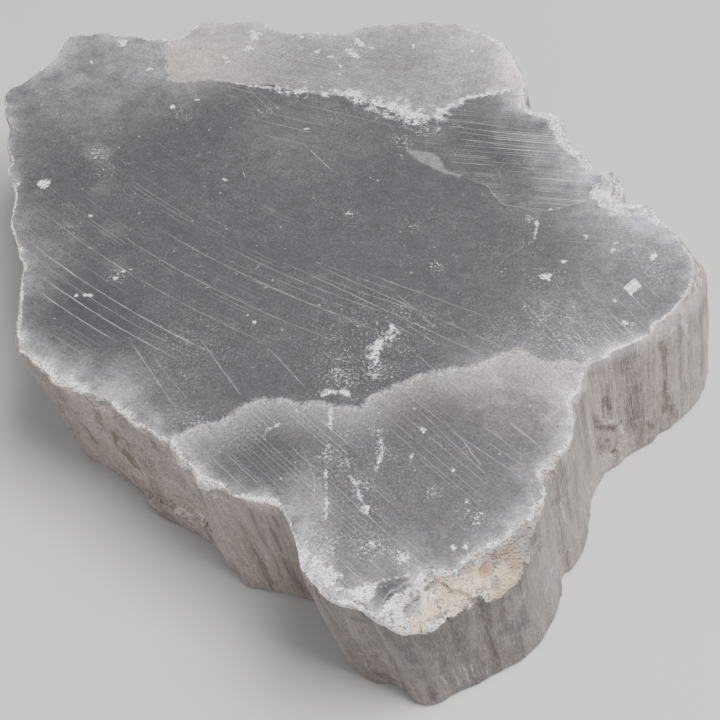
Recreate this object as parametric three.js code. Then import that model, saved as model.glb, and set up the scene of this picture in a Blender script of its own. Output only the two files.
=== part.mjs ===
import * as THREE from "three";

// A slab of fibrous selenite: a slice sawn across a natural log of the crystal, flat above and
// below, with the broken outside of the log left as its wall. It grew as one mass, so it is one
// solid. Millimetres, +Z up. The slab rests on its sawn base, and the origin is on the base, in
// the middle of the slab's box.

// Driving dimensions
const thickness = 54; // from the sawn base to the sawn top
const fibreLean = 0.217; // the fibres run this far towards +X for each millimetre down
const stationCount = 408; // columns of the wall, about 2 mm apart
const crumble = { inset: 1.4, drop: 1.9, unevenness: 0.9 }; // the crushed rim of the sawn top
const footChamfer = { inset: 0.9, height: 1.3 }; // the worn lower edge
const flutes = [
  { width: 13, depth: 0.8 },
  { width: 6, depth: 0.6 },
]; // bundles of fibres, side by side all round the wall

// The heart is the point on the sawn top that every radius of the wall is measured from.
const heart = new THREE.Vector2(0, 25);

// The wall's outline just under the sawn top, anticlockwise from the front corner. Each point is
// x, y, and how far the foot of the wall stands out from it.
const outline = [
  // front corner and the front right wall
  [4, -80, -4.5], [8, -82, -3], [13, -83, -3.5], [19, -81, -5], [25, -77, -4.5], [31, -73, -3.5],
  [37, -69, -2.5], [43, -64, -3], [47, -55, -1.5], [51, -44, -1.5], [55, -36, -1], [60, -27, -1],
  [62, -18, -0.5],
  // the valley between the front and the right lobe
  [66, -6, -1], [70, 1, 1], [78, 6, -1],
  // right lobe
  [88, 12, -3], [95, 20, -1], [102, 28, -1.5], [106, 36, -1], [107, 44, 1], [101, 52, 3],
  [97, 60, 2],
  // back right edge, with two outcrops
  [93, 66, 2], [87, 70, 3], [87, 77, 0], [86, 83, 0], [78, 84, 1], [77, 92, 2], [73, 97, 1],
  [71, 104, 1], [70.5, 112, -1], [63, 116, 0], [59, 121, 2],
  // back edge
  [60, 130, 1], [58, 139, 0], [55, 148, 0], [48, 156, 1], [36, 162, 2], [17, 163, 2],
  [3, 160, 1], [-17, 158, 1], [-26, 157, 2], [-36, 163, 1], [-52, 164, -1], [-59, 161, 0],
  [-64, 155, 1], [-81, 154.5, 1], [-95, 157, -1],
  // back left corner and the left wall
  [-102, 155.5, -1], [-106, 145, 0], [-113, 133, -1], [-121, 122, -3], [-117.5, 104, -2],
  [-111, 74, -1], [-106, 53, 0], [-101.5, 39, 1], [-100, 17, 1], [-97, 7, -1],
  // left front wall
  [-90, -2, -3.5], [-79, -10, -2], [-69, -14, 3], [-61, -21, 1], [-51, -29, 1], [-46, -37, 2],
  [-37, -41, 1], [-27, -47, -2], [-20, -51, -1], [-15, -61, 0], [-12, -72, -3], [-5, -77, -4],
];

// Chips off the rim: where, how far each way along the rim, how far in and how far down.
const chips = [
  { at: [20, -80], reach: 12.5, inset: 11, drop: 8 }, // front corner
  { at: [37, -69], reach: 20, inset: 7.5, drop: 10 }, // front right corner
  { at: [106, 36], reach: 17, inset: 4, drop: 6 }, // right lobe
  { at: [86, 74], reach: 11, inset: 5, drop: 5 }, // back right outcrop
  { at: [66, 110], reach: 10, inset: 4, drop: 4 }, // back right nick
  { at: [-12, -68], reach: 12, inset: 1.5, drop: 4 }, // front left spall
  { at: [-70, -14], reach: 14, inset: 2, drop: 5 }, // left spall
  { at: [-22, 156], reach: 12, inset: 1.5, drop: 4 }, // back notch
  { at: [-112, 132], reach: 16, inset: 1.5, drop: 4 }, // back left spall
];

// Scars: shallow recesses, where a sheaf of fibres has split off between two heights.
const scars = [
  { at: [-62, -21], reach: 17, depth: 2.6, low: 9, high: 41 }, // over the left chunk
  { at: [10, -80], reach: 12, depth: 0.8, low: 6, high: 30 }, // front corner
  { at: [49, -49], reach: 9, depth: 1.2, low: 12, high: 38 }, // front right plate
  { at: [73, 3], reach: 10, depth: 2.4, low: 5, high: 19 }, // valley arch
  { at: [98, 22], reach: 12, depth: 0.8, low: 18, high: 40 }, // right lobe
  { at: [73, 95], reach: 18, depth: 2.8, low: 12, high: 40 }, // back right
  { at: [28, 162], reach: 22, depth: 3, low: 16, high: 42 }, // back
  { at: [-72, 152], reach: 20, depth: 2.6, low: 8, high: 34 }, // back left
  { at: [-114, 92], reach: 24, depth: 2.4, low: 20, high: 44 }, // left
  { at: [-101, 30], reach: 16, depth: 2.2, low: 7, high: 30 }, // left low
];

// Grooves that follow the fibres down the whole wall.
const grooves = [
  { at: [91, 14], reach: 4, depth: 2.2 }, // right lobe
  { at: [69, 0], reach: 5, depth: 1.6 }, // valley
  { at: [53, -40], reach: 4, depth: 1.4 }, // front right
  { at: [0, -77], reach: 5, depth: 1.6 }, // front edge
  { at: [-45, -38], reach: 4, depth: 1.5 }, // left front
  { at: [59, 118], reach: 6, depth: 1.8 }, // back right
  { at: [-74, 155], reach: 5, depth: 1.2 }, // back
  { at: [-5, 158], reach: 6, depth: 1.6 }, // back middle
];

// Stations: evenly spaced points of the smoothed outline, with z carrying the foot's flare.
function layOutStations() {
  const corners = outline.map(([x, y, foot]) => new THREE.Vector3(x, y, foot));
  const curve = new THREE.CatmullRomCurve3(corners, true, "centripetal");
  return curve.getSpacedPoints(stationCount).slice(0, stationCount);
}

const stations = layOutStations();
const girth = stations.reduce(
  (sum, point, i) => sum + point.distanceTo(stations[(i + 1) % stationCount]),
  0,
);
const stationSpacing = girth / stationCount;

function nearestStation([x, y]) {
  const distances = stations.map((point) => Math.hypot(point.x - x, point.y - y));
  return distances.indexOf(Math.min(...distances));
}

// How strongly a mark on the wall acts at a station: 1 at its middle and 0 past its reach.
function strength(mark, station) {
  const steps = Math.abs(station - nearestStation(mark.at));
  const distance = Math.min(steps, stationCount - steps) * stationSpacing;
  return Math.max(0, 1 - (distance / mark.reach) ** 2);
}

// Repeatable scatter from -1 to 1.
function scatter(index, seed) {
  const wave = Math.sin(index * 127.1 + seed * 311.7) * 43758.5453;
  return 2 * (wave - Math.floor(wave)) - 1;
}

// Smooth unevenness round the wall, from -1 to 1, with lumps about `width` mm wide.
function unevenness(station, width, seed) {
  const lumps = Math.round(girth / width);
  const place = (station / stationCount) * lumps;
  const lump = Math.floor(place);
  const blend = THREE.MathUtils.smoothstep(place - lump, 0, 1);
  return THREE.MathUtils.lerp(scatter(lump % lumps, seed), scatter((lump + 1) % lumps, seed), blend);
}

// The crushed rim at one station, deepened by the chips. The rim is rounded over, but a chip is
// hollow: a steep step under the sawn top, then a shelf that slopes out to the wall.
function rimAt(station) {
  const uneven = 1 + crumble.unevenness * unevenness(station, 5, 11);
  const rim = { inset: crumble.inset * uneven, drop: crumble.drop * uneven, hollow: 0 };
  for (const chip of chips) {
    const share = strength(chip, station) * (1 + 0.15 * unevenness(station, 7, 12));
    rim.inset = Math.max(rim.inset, chip.inset * Math.sqrt(share));
    rim.drop = Math.max(rim.drop, chip.drop * Math.sqrt(share));
    rim.hollow = Math.max(rim.hollow, share);
  }
  return rim;
}

// The scar at one station: its depth, and the two heights that it lies between.
function scarAt(station) {
  const scar = {
    depth: 0.8 * Math.max(0, unevenness(station, 24, 21)),
    low: 13 + 5 * unevenness(station, 15, 22),
    high: 37 + 5 * unevenness(station, 17, 23),
  };
  for (const mark of scars) {
    const share = strength(mark, station);
    const raggedness = 1.6 * unevenness(station, 6, 24) * share;
    scar.depth = Math.max(scar.depth, mark.depth * Math.min(1, 1.8 * share));
    scar.low = THREE.MathUtils.lerp(scar.low, mark.low, share) + raggedness;
    scar.high = THREE.MathUtils.lerp(scar.high, mark.high, share) - raggedness;
  }
  return scar;
}

// What the bundles of fibres and the grooves add to the wall's radius, at every height alike.
function fluteAt(station) {
  const bundles = flutes.map(({ width, depth }, i) => depth * unevenness(station, width, 31 + i));
  const cuts = grooves.map((groove) => groove.depth * strength(groove, station));
  return bundles.reduce((sum, bundle) => sum + bundle, 0) - Math.max(...cuts);
}

// One column of the wall, from the rim down to the base: how far out and how high each point is.
function columnAt(station) {
  const point = stations[station];
  const foot = point.z;
  const radius = Math.hypot(point.x - heart.x, point.y - heart.y) + fluteAt(station);
  const rim = rimAt(station);
  const scar = scarAt(station);
  const wall = (height) => radius + foot * (1 - height / thickness);
  const breakDrop = rim.drop * THREE.MathUtils.lerp(0.3, 0.6, rim.hollow);
  const breakInset = rim.inset * THREE.MathUtils.lerp(0.6, 0.8, rim.hollow);
  const ledge = 0.8; // the height of the step at each end of a scar
  const high = Math.min(scar.high, thickness - rim.drop - 3 * ledge);
  const middle = (scar.low + high) / 2;
  return [
    { height: thickness, radius: radius - rim.inset },
    { height: thickness - breakDrop, radius: radius - breakInset },
    { height: thickness - rim.drop, radius: wall(thickness - rim.drop) },
    { height: high + ledge, radius: wall(high) },
    { height: high, radius: wall(high) - scar.depth },
    { height: middle, radius: wall(middle) - 0.7 * scar.depth - 0.4 * unevenness(station, 8, 41) },
    { height: scar.low + ledge, radius: wall(scar.low) - scar.depth },
    { height: scar.low, radius: wall(scar.low) },
    { height: footChamfer.height, radius: wall(0) },
    { height: 0, radius: wall(0) - footChamfer.inset },
  ];
}

// The solid: the columns joined side by side, closed by the sawn top and the sawn base.
function buildSlab() {
  const columns = stations.map((_, station) => columnAt(station));
  const rowCount = columns[0].length;
  const positions = [];
  columns.forEach((column, station) => {
    const point = stations[station];
    const out = new THREE.Vector2(point.x, point.y).sub(heart).normalize();
    for (const { height, radius } of column) {
      const lean = fibreLean * (thickness - height);
      positions.push(heart.x + out.x * radius + lean, heart.y + out.y * radius, height);
    }
  });

  const corner = (station, row) => (station % stationCount) * rowCount + row;
  const faces = [];
  for (let station = 0; station < stationCount; station++) {
    for (let row = 0; row < rowCount - 1; row++) {
      const upperLeft = corner(station, row);
      const upperRight = corner(station + 1, row);
      const lowerLeft = corner(station, row + 1);
      const lowerRight = corner(station + 1, row + 1);
      faces.push(upperLeft, lowerLeft, lowerRight, upperLeft, lowerRight, upperRight);
    }
  }

  const ring = (row) =>
    stations.map((_, station) => {
      const first = 3 * corner(station, row);
      return new THREE.Vector2(positions[first], positions[first + 1]);
    });
  const sawnFace = (row) => THREE.ShapeUtils.triangulateShape(ring(row), []);
  for (const [a, b, c] of sawnFace(0)) {
    faces.push(corner(a, 0), corner(b, 0), corner(c, 0));
  }
  const base = rowCount - 1;
  for (const [a, b, c] of sawnFace(base)) {
    faces.push(corner(a, base), corner(c, base), corner(b, base));
  }

  const geometry = new THREE.BufferGeometry();
  geometry.setAttribute("position", new THREE.Float32BufferAttribute(positions, 3));
  geometry.setIndex(faces);
  geometry.computeBoundingBox();
  const middle = geometry.boundingBox.getCenter(new THREE.Vector3());
  geometry.translate(-middle.x, -middle.y, 0);
  geometry.computeVertexNormals();
  return geometry;
}

const selenite = new THREE.MeshStandardMaterial({ color: 0x96949a, roughness: 0.45, metalness: 0 });

const slab = new THREE.Mesh(buildSlab(), selenite);
slab.name = "selenite_slab";

const part = new THREE.Group();
part.add(slab);

export default part;
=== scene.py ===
import math

import bmesh
import bpy
import numpy as np
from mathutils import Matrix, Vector, geometry, kdtree, noise
from mathutils.bvhtree import BVHTree


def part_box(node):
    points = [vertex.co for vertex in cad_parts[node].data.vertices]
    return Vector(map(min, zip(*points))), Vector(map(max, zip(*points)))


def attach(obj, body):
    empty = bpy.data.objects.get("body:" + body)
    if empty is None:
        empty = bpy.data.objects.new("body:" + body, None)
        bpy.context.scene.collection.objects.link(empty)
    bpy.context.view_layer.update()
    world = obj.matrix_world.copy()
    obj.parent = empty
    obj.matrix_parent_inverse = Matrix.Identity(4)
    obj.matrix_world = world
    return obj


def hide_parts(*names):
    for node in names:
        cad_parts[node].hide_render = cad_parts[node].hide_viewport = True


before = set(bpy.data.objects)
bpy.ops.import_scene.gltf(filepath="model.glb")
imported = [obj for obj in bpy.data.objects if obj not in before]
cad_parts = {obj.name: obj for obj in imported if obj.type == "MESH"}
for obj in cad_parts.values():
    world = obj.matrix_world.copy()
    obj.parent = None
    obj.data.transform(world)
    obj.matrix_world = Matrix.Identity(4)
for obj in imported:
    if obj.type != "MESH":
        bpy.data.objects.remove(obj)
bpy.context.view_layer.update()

# The slab. A slice sawn across a log of fibrous selenite: flat above and below, with the log's
# broken outside left as a wall of fibres that all lean the same way. It grew as one mass. Its
# main form is the solid's, and the fine fibres, splinters and crushed rim are carved on that.
MM = 0.001
slab_low, slab_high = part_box("selenite_slab")
thickness = (slab_high[2] - slab_low[2]) / MM
fibre_lean = 0.217  # how far the fibres move towards +X for each step down
heart = np.array([0.6, -16.7])  # on the sawn top; the wall's radii and all places are from here
column_count = 1450  # columns of the wall, each along one fibre
front_below = 0.1  # the wall is in front where the sine of its angle is under this
front_crowding = 2  # and its columns are this many times closer together there
rim_steps = [0, 0.35, 0.8, 1.4, 2.1, 3.0]  # depths of the finer rows under the rim
foot_steps = [2.4, 1.3, 0.5, 0]  # heights of the finer rows over the base
wall_step = 1.9  # the rows between them
ring_insets = [0.4, 0.9, 1.5, 2.3, 3.3]  # rings of the sawn top, in from the rim
top_grid = 1.7  # spacing of the points inside the last ring
base_shares = [0.9, 0.5]  # rings of the sawn base, as shares of its radius
ray_margin = 0.01  # the wall is measured this far inside the top and the base
# A tongue of the sawn top that reaches out over the front chip: the angle in degrees, and mm.
tongue = [(274.5, 0), (277.4, 2.5), (279.4, 3.4), (281.2, 0)]
tongue_depths = (4.5, 2.5)  # under the top: where it ends, and where it is whole

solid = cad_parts["selenite_slab"].data
surface = BVHTree.FromPolygons(
    [v.co / MM for v in solid.vertices],
    [tuple(p.vertices) for p in solid.polygons],
)


def heart_line(height):
    """Where the fibre through the heart passes that height."""
    drop = fibre_lean * (thickness - np.asarray(height, float))
    return np.stack([heart[0] + drop, heart[1] + 0 * drop], -1)


def smooth(low, high, value):
    """0 up to low and 1 from high on, with a soft step between."""
    t = np.clip((value - low) / (high - low), 0, 1)
    return t * t * (3 - 2 * t)


def by_angle(table, turns, column=1):
    """A value that changes round the wall, from a table of it at angles in degrees."""
    columns = list(zip(*table))
    return np.interp(np.degrees(turns), columns[0], columns[column], period=360)


def radii(turns, heights):
    """How far the wall lies from the leaning heart line, for each angle and height, in mm."""
    reach = []
    for turn, height in zip(turns, np.clip(heights, ray_margin, thickness - ray_margin)):
        way = Vector((math.cos(turn), math.sin(turn), 0))
        reach.append(surface.ray_cast(Vector((*heart_line(height), height)), way)[3])
    return np.array(reach) + by_angle(tongue, turns) * smooth(*tongue_depths, thickness - heights)


def spaced_columns():
    """The columns' angles, closer together in front, how far round each is, and the girth in mm."""
    turns = np.linspace(0, 2 * math.pi, 4 * column_count + 1)
    reach = radii(turns, np.full(len(turns), thickness / 2))
    steps = np.hypot(np.diff(reach * np.cos(turns)), np.diff(reach * np.sin(turns)))
    run = np.append(0, np.cumsum(steps))
    crowding = np.where(np.sin(turns[1:]) < front_below, front_crowding, 1)
    crowded = np.append(0, np.cumsum(steps * crowding))
    wanted = np.arange(column_count) / column_count * crowded[-1]
    return np.interp(wanted, crowded, turns), np.interp(wanted, crowded, run), run[-1]


angles, along, girth = spaced_columns()
ways = np.stack([np.cos(angles), np.sin(angles)], 1)
wall_count = int((thickness - rim_steps[-1] - foot_steps[0]) / wall_step)
wall_heights = np.linspace(thickness - rim_steps[-1], foot_steps[0], wall_count + 1)[1:-1]
heights = [thickness - depth for depth in rim_steps] + list(wall_heights) + foot_steps
reach = np.stack([radii(angles, np.full(column_count, height)) for height in heights])

# Places on the sawn top, in mm from the heart. The top is cloudier behind a crushed fracture, in
# a lens beside it with a pale patch at its corner, and in front of a veil that crosses the slab.
# Each is an outline, closed beyond the rim.
cloudy_back = [
    (-66, 111), (-65, 104), (-61, 102), (-51, 104), (-40, 102), (-28, 101), (-20, 97), (-10, 96),
    (2, 94), (8, 91), (17, 83), (23, 81), (28, 84), (37, 92), (46, 97), (53, 99), (57, 94),
    (80, 100), (70, 160), (-64, 160), (-68, 122),
]
lens = [
    (17, 76), (17, 68), (22, 62), (29, 56), (36, 54), (43, 50), (46, 43), (53, 39), (60, 37),
    (67, 40), (76, 43), (100, 50), (84, 84), (57, 94), (46, 97), (37, 92), (28, 84), (21, 80),
]
pale_patch = [
    (17, 75), (18, 68), (22, 67), (26, 66), (28, 64), (30, 58), (35, 55), (34, 54), (29, 56),
    (25, 59), (21, 62), (17, 67),
]
cloudy_front = [
    (-50, -51), (-44, -47), (-37, -45), (-31, -40), (-25, -37), (-20, -37), (-15, -39), (-10, -38),
    (-3, -40.5), (2, -40), (5, -36.5), (9, -33.5), (16, -30), (20, -28), (30, -26), (36, -25),
    (40, -22), (44, -20), (48, -18), (51, -21), (55, -24), (61, -23.5), (68, -24), (90, -40),
    (60, -130), (-20, -130), (-80, -60),
]

# Solid white pieces with sharp corners: a square flake at the right and a wedge by the front chip.
white_pieces = [
    [(81, 5), (85, 9), (87, 6), (83, 2)],
    [(-2, -98.6), (6, -96.8), (5.5, -100.5), (2.5, -102.5)],
]

# Cracks of the sawn top, each a chain of places with the crack's half width there. The first is
# the crushed fracture behind, which runs on into the rim at the right.
cracks = [
    [(-44, 103, 0.2), (-40, 102, 0.3), (-32, 100, 0.5), (-25, 99, 1.2), (-17, 98, 1.9),
     (-11, 97, 1.6), (-5, 97, 0.9), (-1, 96, 2), (7, 92, 2.7), (14, 88, 2.9), (21, 85, 3.2),
     (26, 84, 2.8), (31, 88, 1.3), (38, 94, 0.7), (45, 96, 0.6), (52, 98, 1.4)],
    [(-66, 112, 0.3), (-66, 106, 0.4), (-64, 103, 0.3)],
    [(-7, -37, 0.2), (-6, -41, 0.4), (-6, -46, 0.6), (-6, -51, 0.4), (-7, -56, 0.15),
     (-7, -61, 0.3), (-7, -66, 0.5), (-7, -71, 0.3), (-7, -77, 0.4)],
    [(-13, -85, 0.2), (-12, -80, 0.2), (-9, -78, 0.35), (-6, -77, 0.2)],
    [(-26, -53, 0.2), (-23, -48, 0.45), (-20, -46, 0.2)],
    [(58, 35, 0.45), (57, 30, 0.4), (56, 25, 0.2), (51, 21, 0.15), (46, 16, 0.15), (38, 9, 0.1)],
    [(57, 38, 0.2), (62, 39, 0.2), (70, 41, 0.1)],
    [(-2, -55, 0.25), (-1, -62, 0.35), (1.5, -69, 0.5), (3.5, -74, 0.6), (5, -77.5, 0.3)],
    [(7.5, -51, 0.5), (8, -56.5, 0.7), (6, -62.5, 0.25)],
    [(11.5, -8, 0.3), (11, -12.5, 0.9), (9.5, -15, 1.1), (6.5, -18, 0.9), (6, -20.5, 1.3),
     (6.5, -23.5, 0.6), (7, -27.5, 0.3), (5.5, -30, 0.6)],
    [(-8.5, -36.5, 0.5), (-7, -34.7, 0.7), (-4, -35.3, 0.4), (-2, -34.7, 1), (-1, -36.5, 0.8)],
    [(-1, -98, 0.4), (7, -96, 0.4), (15, -94, 0.3)],
    [(55, -48, 0.2), (59, -45, 0.4), (62, -44, 0.3)],
]
# White flakes: the place, half the length and the width, and the direction in degrees.
flakes = [
    (-36, 130, 3, 1.6, 100), (-38, 122, 1.7, 1.3, 90), (-46, 117, 1, 1, 0), (-45, 114, 1, 0.9, 0),
    (-13, 120, 1.4, 1.3, 0), (2, 125, 3, 1.2, -60), (6, 122, 1.5, 0.7, 0), (-2, 121, 1.6, 1, -30),
    (0, 118, 3, 1.5, -50), (-5, 112, 1, 0.8, 0), (-5, 107, 0.7, 0.6, 0), (-9, 117, 2.5, 0.5, 0),
    (21, 123, 1.4, 0.6, 90), (35, 128, 0.8, 0.8, 0), (42, 120, 0.9, 0.8, 0),
    (-19, 128, 1.2, 0.8, 0), (80, -9, 1.5, 1, -45), (78, 0, 0.7, 0.7, 0), (80, 21, 1.1, 0.7, 60),
    (64, 16, 0.9, 0.7, 0), (72, 27, 0.7, 0.6, 0), (58, 10, 2.2, 1.1, 0), (92, 18, 2.2, 0.9, 60),
    (-100, 51, 2.2, 2.1, 0), (-70, 12, 1.1, 0.7, 30), (-72, 9, 0.8, 0.7, 30),
    (-83, 36, 0.8, 0.7, 0), (-79, 2, 2.5, 0.5, -3), (-83, 125, 2, 1.3, 80),
    (-72, 110, 1.6, 0.7, 20), (-93, 114, 1, 0.5, -40), (-62, 89, 1.2, 1, -40), (-54, 93, 1, 0.5, 0),
    (-16, 78, 1.3, 0.6, 10), (-29, -9, 1.2, 0.5, 90), (-42, 53, 1, 0.6, -25),
    (13, -89, 1.7, 1.7, 0), (26, -86, 1, 0.8, 0), (29, -86, 0.9, 0.8, 0), (5, -85, 1, 0.6, -40),
    (16, -57, 1.3, 0.4, 60), (27, -62, 1, 0.4, 90), (19, -48, 0.6, 0.6, 0), (4, -74, 0.8, 0.6, 60),
    (30, -72, 0.9, 0.5, 60), (33, -79, 1, 0.4, -45), (-8, -93, 8, 2.6, -51),
    (52, -68, 2.5, 1.5, 60),
]
# Loose debris and bruising round them: the place, the radius and how thick it is.
debris = [
    (5, -18, 34, 0.27), (-48, -18, 30, 0.2), (62, -14, 26, 0.3), (0, -62, 30, 0.2),
    (-2, -22, 8, 0.4), (-4, -30, 9, 0.5), (7, -27, 8, 0.45), (10, -14, 7, 0.45), (14, -5, 8, 0.3),
    (22, -8, 11, 0.3), (-1, 4, 6, 0.2), (25, 14, 4, 0.5), (18, 32, 6, 0.3), (-1, 37, 4, 0.4),
    (42, 21, 8, 0.2), (-6, -57, 6, 0.45), (8, -55, 5, 0.5), (7, -49, 4, 0.4), (-2, -50, 5, 0.35),
    (-2, -60, 5, 0.4), (3, -66, 6, 0.4), (4, -74, 5, 0.45), (5, -85, 9, 0.4), (13, -89, 5, 0.5),
    (-8, -86, 10, 0.4), (-30, -50, 8, 0.25), (-45, -46, 9, 0.35), (21, -69, 4, 0.45),
    (31, -76, 7, 0.4), (-84, 66, 7, 0.5), (-81, 57, 6, 0.4), (-81, 77, 5, 0.3), (-72, 10, 6, 0.3),
    (-89, 30, 5, 0.3), (-71, 30, 4, 0.3), (58, 8, 10, 0.3), (60, -5, 16, 0.32), (45, -12, 14, 0.26),
    (92, 12, 10, 0.35), (55, 35, 4, 0.5), (24, 76, 8, 0.4), (16, 72, 7, 0.4), (-30, 88, 7, 0.35),
    (-58, 86, 9, 0.25), (-5, 84, 8, 0.25), (-109, 51, 4, 0.6), (-103, 21, 3, 0.6),
    (80, -16, 10, 0.3), (-70, 120, 14, 0.3), (0, 120, 10, 0.35), (-24, 118, 12, 0.3),
    (35, 104, 12, 0.2),
]
# How wide the crushed rim is at places round it: the angle from +X in degrees, and mm.
rim_wear = [
    (6, 0.6), (16, 1.4), (27, 5), (38, 6), (50, 5), (60, 4), (83, 1.4), (110, 1.2), (126, 2),
    (141, 1.6), (155, 0.8), (165, 1.6), (184, 1.8), (197, 4.2), (204, 4.4), (217, 3), (233, 2.2),
    (250, 2.4), (261, 5), (268, 3), (280, 3), (291, 1.8), (300, 2.6), (312, 2.6), (325, 4),
    (332, 4), (340, 2.4), (350, 1.2), (357, 0.6),
]
# How far in from the rim the white crumbs thin out: the angle in degrees, and mm.
crests = [
    (6, 0.1), (16, 0.25), (27, 0.7), (38, 0.9), (50, 0.8), (60, 0.6), (83, 0.3), (110, 0.3),
    (126, 0.4), (141, 0.4), (155, 0.25), (165, 0.4), (184, 0.6), (192, 0.8), (198, 1.3), (203, 1.2),
    (208, 0.6), (214, 0.9), (219, 0.5), (226, 0.5), (232, 0.9), (240, 0.6), (250, 0.6), (258, 0.8),
    (261, 1.1), (268, 0.5), (273, 0.4), (280, 0.6), (291, 0.5), (300, 0.35), (312, 0.4), (325, 0.3),
    (335, 0.2), (345, 0.15), (357, 0.1),
]
# How far in the sawn top is shattered behind the right lobe: the angle in degrees, and mm.
shattered_to = [
    (18, 0), (21, 3), (24, 7), (27, 4), (30, 5), (33, 6), (37, 2), (41, 3), (46, 2), (51, 3),
    (57, 0),
]
# How far down the wall is frosted under the rim: the angle in degrees, and mm.
frosted_to = [
    (0, 10), (12, 9), (20, 5), (27, 2), (60, 1), (300, 1), (325, 2), (340, 4), (350, 8),
]
# Hazes of the sawn top: the place, the radius and how milky it is, or how clear if below 0.
hazes = [
    (92, 24, 36, 0.12), (-92, 112, 56, 0.12), (42, -32, 26, 0.12), (7, -96, 24, 0.04),
    (-50, 120, 34, 0.12), (30, 125, 60, 0.03), (70, -10, 34, 0.07), (-100, 20, 30, 0.03),
    (45, 124, 24, 0.1), (62, 106, 22, 0.22), (76, 52, 7, 0.15), (83, 44, 7, 0.3), (92, 34, 9, 0.3),
    (98, 27, 6, 0.2), (-84, 66, 8, 0.05), (-80, 48, 6, 0.03), (-75, 30, 6, 0.03),
    (-72, 14, 6, 0.03), (-20, 80, 40, 0.03), (60, 20, 40, 0.02), (-58, 110, 24, 0.05),
    (-18, 112, 22, -0.04), (15, 112, 20, -0.04), (11, -100, 8, -0.3), (52, 70, 26, -0.03),
    (80, 68, 24, -0.12), (68, 82, 20, -0.08), (-24, -66, 26, -0.06), (-76, -6, 24, -0.02),
]
# Tinted places of the sawn top: the place, the radius and how strong. Cream, then bluish.
creams = [
    (-58, 114, 30, 1), (-40, 108, 24, 0.7), (62, 108, 24, 1), (30, 128, 30, 0.5), (45, -34, 34, 1),
    (18, -40, 26, 0.8), (-22, -48, 34, 0.6), (8, -92, 30, 0.4),
]
blues = [(76, 52, 7, 0.7), (83, 44, 6, 0.8), (92, 34, 9, 0.8), (98, 27, 6, 0.5)]
# Long scratches: the two ends, and how strong.
scratches = [
    (-66, -14, -48, -43, 0.6), (-44, -16, -31, -37, 0.8), (-25, -18, -13, -34, 0.5),
    (-10, -18, 1, -33, 0.5), (-57, -23, -46, -38, 0.4), (14, -16, 25, -29, 0.5),
    (17, -40, 38, -66, 0.6), (43, -45, 52, -55, 0.8), (50, -38, 57, -50, 0.5),
    (25, -47, 45, -64, 0.6), (36, -52, 49, -63, 0.4), (-42, 102, -28, 81, 0.4),
    (-38, 101, -25, 83, 0.6), (-35, 100, -22, 84, 0.3), (-18, 72, -7, 57, 1.2),
    (-22, 16, 38, -22, 0.7), (-14, 16, 46, -20, 0.6), (-34, 10, 14, -16, 0.5), (2, 12, 42, -8, 0.6),
    (10, 6, 25, -12, 0.5), (14, -8, 25, -18, 0.7), (8, -7, 18, -14, 0.7), (-36, 57, -35, 53, 1),
    (61, -12, 67, -21, 0.8), (65, -12, 68, -21, 0.7), (68, -12, 70, -21, 0.9),
    (71, -14, 73, -20, 0.8), (58, -17, 63, -24, 0.6), (82, 4, 88, -7, 0.7), (86, 1, 91, -9, 0.6),
    (89, 4, 95, -3, 0.6), (73, -8, 78, -17, 0.6), (77, -10, 81, -18, 0.6), (23, -42, 33, -56, 0.5),
    (30, -52, 35, -61, 0.9), (35, -46, 53, -64, 0.4), (43, -46, 53, -56, 0.9),
    (17, -57, 31, -72, 0.4), (26, 84, 69, 75, 0.6), (29, 80, 70, 72, 0.8), (32, 77, 72, 69, 0.7),
    (34, 73, 73, 66, 0.8), (38, 67, 74, 62, 0.5), (48, 57, 77, 55, 0.4), (41, 62, 75, 58, 0.5),
    (64, 25, 95, 22, 0.5), (66, 19, 91, 16, 0.4),
]
# Seams, thin and unbroken: the lens's edge, a hair crack in front of it, and smears by the long
# crack in front. Each is a chain of places, and how strong.
seams = [
    ([(35, 55), (39, 52), (43, 50), (45, 45), (48, 41), (53, 40), (57, 38), (62, 38)], 0.6),
    ([(62, 38), (66, 40), (71, 42), (76, 43)], 0.6),
    ([(54, 25), (51, 21), (47, 18), (41, 10)], 0.4),
    ([(-14, -54), (-12, -59), (-10, -65), (-10, -71), (-9, -78)], 0.5),
    ([(-9, -65), (-8, -71), (-8, -78)], 0.5),
    ([(50, 62), (47, 57), (48, 53), (47, 48)], 0.5),
]
# The saw's own arcs, round a far centre: the radius, where each runs from and to along X, and
# how strong.
saw_centre = (130, 267)
saw_arcs = [
    (346, -108, -66, 0.9), (341.5, -108, -48, 1), (338, -108, -50, 0.5), (334.5, -108, -36, 1),
    (330, -100, -60, 0.2), (323.5, -100, -20, 0.5), (313.6, -74, -4, 0.6), (304, -64, 8, 0.6),
    (300.5, -30, 8, 0.3), (297.5, -40, 14, 0.5), (293, -14, 26, 0.5), (288, -10, 20, 0.3),
]
hairline = 0.2  # half the width of a scratch
line_step = 1.5  # spacing of the points along a scratch or an arc
line_wobble = 0.05  # how far they stray
line_fade = 6  # a scratch fades out over the last sixth at each end
line_room = 0.45  # the top's other points keep this far from them
line_margin = 1  # how far lines and specks stay inside the top's last ring
scatter_low, scatter_high = (-110, -105), (100, 135)  # corners of the field below, from the heart
nick_count = 420  # short random scratches
nick_reach = (0.4, 1.6)  # half the length of the shortest and the longest
nick_bow = 0.25  # how far one may bend, as a share of that
speck_count = 260  # random specks of dust
speck_size, speck_growth = 0.25, 0.35  # the smallest radius, and how much more one may have
speck_corners = 6
# Painted light and shade round the wall, lighter at the left and the right and darker in front: the
# angle in degrees, and the share.
painted_wall_light_and_shade = [
    (30, 1), (90, 1), (150, 1), (184, 1.15), (215, 1.15), (232, 1.1), (245, 1.05), (256, 0.8),
    (268, 0.65), (285, 0.6), (300, 0.8), (312, 0.95), (330, 1.05), (345, 1.15), (357, 1.15),
]
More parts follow.
